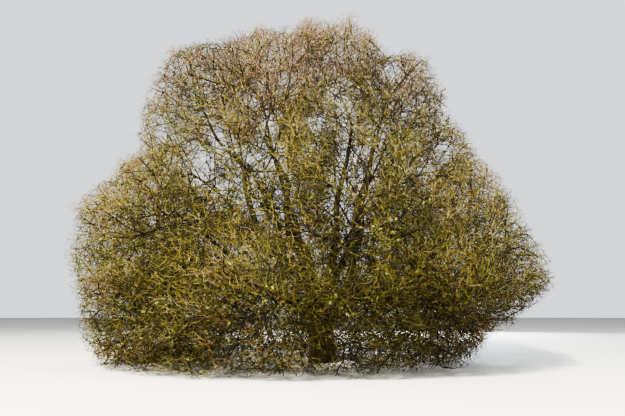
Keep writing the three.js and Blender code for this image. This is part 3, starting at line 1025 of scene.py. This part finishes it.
def barkPiece(name, shapes, material):
    whole = bmesh.new()
    whole.verts.layers.float_vector.new("barkPlace")
    for shape in shapes:
        part = bpy.data.meshes.new("part")
        shape.to_mesh(part)
        shape.free()
        whole.from_mesh(part)
        bpy.data.meshes.remove(part)
    mesh = bpy.data.meshes.new(name)
    whole.to_mesh(mesh)
    whole.free()
    mesh.materials.append(material)
    piece = bpy.data.objects.new(name, mesh)
    bpy.context.scene.collection.objects.link(piece)
    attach(piece, "root")
    return piece


def trunkTube():
    b = barkSettings

    def straight(share, angle):
        radius = trunkWidth(share, angle)
        return Vector((radius * math.cos(angle), radius * math.sin(angle), share * tree["trunkHeight"]))

    def place(share, angle):
        middle = trunkPoint(share)
        depth = furrowDepth(straight(share, angle), b["plateAcross"], b["plateAlong"])
        out = trunkWidth(share, angle) + b["furrow"] * (depth - b["plateLevel"])
        return Vector((middle[0] + out * math.cos(angle), middle[1] + out * math.sin(angle), middle[2]))

    return wrapTube(b["trunkSides"], b["trunkRings"], place, straight)


# a smooth line through a limb's points
def smoothPoint(line, share):
    steps = len(line) - 1
    i = min(int(share * steps), steps - 1)
    t = share * steps - i
    a, b, c, d = line[max(i - 1, 0)], line[i], line[i + 1], line[min(i + 2, steps)]
    return 0.5 * (
        2 * b + (c - a) * t
        + (2 * a - 5 * b + 4 * c - d) * t ** 2 + (3 * b - a - 3 * c + d) * t ** 3)


def boughTube(number, mass):
    b = barkSettings
    length = sizeOf(mass.line[1:] - mass.line[:-1]).sum()
    rings = max(int(length / b["boughRing"]), b["leastRings"])
    sides = b["boughSides"] if mass.carrier is None else b["thinSides"]
    shares = np.linspace(0, 1, rings + 1)
    middles = np.array([smoothPoint(mass.line, share) for share in shares])
    ways = unit(np.gradient(middles, axis=0))
    reference = [0.0, 0.0, 1.0] if abs(mass.stemWay[2]) < 0.9 else [1.0, 0.0, 0.0]
    across = unit(np.cross(ways, reference))
    over = np.cross(ways, across)
    offset = number * b["patternStep"]  # so that no two boughs have the same bark

    def straight(share, angle):
        radius = limbWidth(mass, share)
        return Vector((radius * math.cos(angle) + offset, radius * math.sin(angle), share * length))

    def place(share, angle):
        i = int(round(share * rings))
        radius = limbWidth(mass, share)
        spot = straight(share, angle)
        lumps = noise.noise(Vector([spot[k] * b["lumpScale"][k] for k in range(3)]))
        ridges = furrowDepth(spot, *b["boughPlates"]) - b["boughPlateLevel"]
        collar = b["collar"] * math.exp(-share * length / b["collarReach"]) * radius
        out = radius * (1 + b["boughRelief"] * (b["boughLumps"] * lumps + ridges)) + collar
        spot = middles[i] + (across[i] * math.cos(angle) + over[i] * math.sin(angle)) * out
        return Vector(spot)

    return wrapTube(sides, rings, place, straight)


# oak bark: pale ridges over dark furrows, and a yellow-green on the sides that face up and left, toward
# the key lamp, that is partly moss and lichen and partly painted light
def makeBarkGroup():
    group, given, made = newGroup(
        "oakBark",
        [("Place", "NodeSocketVector", None),
         ("Furrow", "NodeSocketColor", (0.03, 0.024, 0.018, 1)),
         ("Ridge", "NodeSocketColor", (0.15, 0.125, 0.095, 1)),
         ("Moss", "NodeSocketColor", (0.1, 0.105, 0.022, 1)),
         ("Mossy", "NodeSocketFloat", 0.5)],
        [("Color", "NodeSocketColor"), ("Height", "NodeSocketFloat"), ("Roughness", "NodeSocketFloat")])
    link = group.links.new
    stretch = setInputs(addNode(group, "ShaderNodeMapping"), Scale=(1, 1, 0.28))
    plates = setInputs(addNode(group, "ShaderNodeTexVoronoi", feature="DISTANCE_TO_EDGE"), Scale=15.0)
    grain = setInputs(addNode(group, "ShaderNodeTexNoise"), Scale=38.0, Detail=5.0, Roughness=0.65)
    ridge = setInputs(addNode(group, "ShaderNodeMapRange", interpolation_type="SMOOTHSTEP"),
                      **{"From Min": 0.0, "From Max": 0.28})
    mixHeight = addNode(group, "ShaderNodeMath", operation="MULTIPLY_ADD")
    mixHeight.inputs[1].default_value = 0.35
    colour = addNode(group, "ShaderNodeMix", data_type="RGBA")
    link(given.outputs["Place"], stretch.inputs["Vector"])
    link(stretch.outputs["Vector"], plates.inputs["Vector"])
    link(stretch.outputs["Vector"], grain.inputs["Vector"])
    link(plates.outputs["Distance"], ridge.inputs["Value"])
    link(grain.outputs["Fac"], mixHeight.inputs[0])
    link(ridge.outputs["Result"], mixHeight.inputs[2])
    link(mixHeight.outputs["Value"], colour.inputs["Factor"])
    link(given.outputs["Furrow"], colour.inputs["A"])
    link(given.outputs["Ridge"], colour.inputs["B"])
    # painted light mixed with moss: the yellow-green goes on the sides that face up, left and to the
    # front, toward the key lamp, in noisy patches
    towardKeyLamp = addNode(group, "ShaderNodeVectorMath", operation="DOT_PRODUCT")
    towardKeyLamp.inputs[1].default_value = (-0.45, -0.35, 0.82)
    surface = addNode(group, "ShaderNodeTexCoord")
    patch = setInputs(addNode(group, "ShaderNodeTexNoise"), Scale=4.0, Detail=4.0, Roughness=0.7)
    where = addNode(group, "ShaderNodeMath", operation="ADD")
    mossAndPaintedLightMask = setInputs(addNode(group, "ShaderNodeMapRange", interpolation_type="SMOOTHSTEP"),
                     **{"From Min": 0.75, "From Max": 1.35})
    amount = addNode(group, "ShaderNodeMath", operation="MULTIPLY")
    mossAndPaintedLight = addNode(group, "ShaderNodeMix", data_type="RGBA")
    link(surface.outputs["Normal"], towardKeyLamp.inputs[0])
    link(given.outputs["Place"], patch.inputs["Vector"])
    link(towardKeyLamp.outputs["Value"], where.inputs[0])
    link(patch.outputs["Fac"], where.inputs[1])
    link(where.outputs["Value"], mossAndPaintedLightMask.inputs["Value"])
    link(mossAndPaintedLightMask.outputs["Result"], amount.inputs[0])
    link(given.outputs["Mossy"], amount.inputs[1])
    link(amount.outputs["Value"], mossAndPaintedLight.inputs["Factor"])
    link(colour.outputs["Result"], mossAndPaintedLight.inputs["A"])
    link(given.outputs["Moss"], mossAndPaintedLight.inputs["B"])
    link(mossAndPaintedLight.outputs["Result"], made.inputs["Color"])
    link(mixHeight.outputs["Value"], made.inputs["Height"])
    rough = setInputs(addNode(group, "ShaderNodeMapRange"), **{"To Min": 0.75, "To Max": 0.98})
    link(grain.outputs["Fac"], rough.inputs["Value"])
    link(rough.outputs["Result"], made.inputs["Roughness"])
    return group


barkGroup = makeBarkGroup()


def barkMaterial(name, furrow, ridge, mossAndPaintedLightAmount):
    material, nodes, shader = newMaterial(name)
    place = addNode(nodes, "ShaderNodeAttribute", attribute_name="barkPlace")
    bark = addNode(nodes, "ShaderNodeGroup", node_tree=barkGroup)
    setInputs(bark, Furrow=(*furrow, 1), Ridge=(*ridge, 1), Mossy=mossAndPaintedLightAmount)
    bump = setInputs(nodes.nodes.new("ShaderNodeBump"), Strength=0.8, Distance=0.012)
    link = nodes.links.new
    link(place.outputs["Vector"], bark.inputs["Place"])
    link(bark.outputs["Color"], shader.inputs["Base Color"])
    link(bark.outputs["Roughness"], shader.inputs["Roughness"])
    link(bark.outputs["Height"], bump.inputs["Height"])
    link(bump.outputs["Normal"], shader.inputs["Normal"])
    shader.inputs["Specular IOR Level"].default_value = 0.25
    return material


# The bark's colours are painted shade: trunk and boughs are kept near black, as they look in the crown's
# shade, not in their own grey-brown.
trunkPiece = barkPiece(
    "barkTrunk", [trunkTube()], barkMaterial("trunkBarkPaintedShade", (0.013, 0.011, 0.008), (0.06, 0.05, 0.035), 0.3))
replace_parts(trunkPiece, "trunk")
boughPiece = barkPiece(
    "barkBoughs", [boughTube(number, mass) for number, mass in enumerate(masses)],
    barkMaterial("boughBarkPaintedShade", (0.012, 0.01, 0.007), (0.052, 0.043, 0.03), 0.45))
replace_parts(boughPiece, *["bough_" + mass.name for mass in masses])
print("triangles of bark:", sum(2 * len(piece.data.polygons) for piece in (trunkPiece, boughPiece)))


# Leaves

leafSettings = dict(
    length=0.1, width=0.066, fold=0.36, perTip=3, spread=0.9,
    leafyTufts={"top": 0.0, "upper": 0.03, "middle": 0.18, "lower": 0.2, "skirt": 0.22, "inner": 0.6},
    leafyTips=0.14, leafyInside=0.75, insideFrom=0.85, insideTo=0.55, bareEdge=0.5, bareFrom=0.93,
    leafyFrom=0.1, droop=0.15, sizes=(0.75, 1.15), toneSplits=(0.5, 0.8), lowest=0.02,
)

leafTones = {
    "oliveLeaf": (0.042, 0.052, 0.008), "yellowGreenLeaf": (0.08, 0.095, 0.012),
    "brownLeaf": (0.075, 0.056, 0.014),
}
leafMaterials = [
    grainyMaterial(name, colour, size=70.0, strength=0.4, dull=0.75, worn=0.45, shine=0.45)
    for name, colour in leafTones.items()]

# half a lobed outline, from the leaf's foot to its tip: along the midrib and out from it
leafOutline = [(0, 0), (0.36, 0.46), (0.55, 0.24), (0.78, 0.5), (1, 0)]


# Leaves stay on inside the crown and low in it, and its outer twigs are bare.
def makeLeaves():
    s = leafSettings
    outward = outwardShare(tufts.ends)[1]
    chance = np.array([s["leafyTufts"][mass.ring["name"]] for mass in masses])[tufts.own]
    inside = np.clip((s["insideFrom"] - outward) / (s["insideFrom"] - s["insideTo"]), 0, 1)
    chance = np.where(chance > s["leafyFrom"], np.maximum(chance, s["leafyInside"] * inside), chance)
    chance = chance * (seenMargin(tufts.ends) > s["bareEdge"]) * (outward < s["bareFrom"])
    leafy = dice.random_sample(len(chance)) < chance
    tips = leafy[tufts.sprigTuft] & (dice.random_sample(len(tufts.sprigs)) < s["leafyTips"])
    lines, tuftOf = tufts.sprigs[tips], tufts.sprigTuft[tips]
    feet = np.repeat(lines[:, -1], s["perTip"], 0)
    tuftOf = np.repeat(tuftOf, s["perTip"])
    way = np.repeat(unit(lines[:, -1] - lines[:, 0]), s["perTip"], 0)
    along = unit(way + s["spread"] * dice.normal(size=way.shape) - s["droop"] * up)
    side = unit(np.cross(along, dice.normal(size=way.shape)))
    face = np.cross(along, side)
    size = s["length"] * dice.uniform(*s["sizes"], (len(feet), 1, 1))
    back = leafOutline[3:0:-1]  # the other half, from the tip to the foot
    x = np.array([p[0] for p in leafOutline] + [p[0] for p in back])
    y = np.array([p[1] for p in leafOutline] + [-p[1] for p in back]) * s["width"] / s["length"]
    z = np.abs(y) * s["fold"]
    shape = along[:, None] * x[:, None] + side[:, None] * y[:, None] + face[:, None] * z[:, None]
    places = feet[:, None] + size * shape
    faces = np.array([(0, 2, 1), (0, 4, 2), (2, 4, 3), (0, 7, 6), (0, 6, 4), (6, 5, 4)])
    tone = np.searchsorted(s["toneSplits"], dice.random_sample(len(chance)))[tuftOf]
    kept = (places[..., 2] > s["lowest"]).all(1)
    places, tone = places[kept], tone[kept]
    allFaces = faces[None] + places.shape[1] * np.arange(len(places))[:, None, None]
    heap = Heap()
    heap.add(places.reshape(-1, 3), allFaces.reshape(-1, 3), np.repeat(tone, len(faces)))
    heap.piece("leafSprays", leafMaterials, smooth=False)
    print("leaves:", len(places), "triangles:", heap.triangles())


makeLeaves()
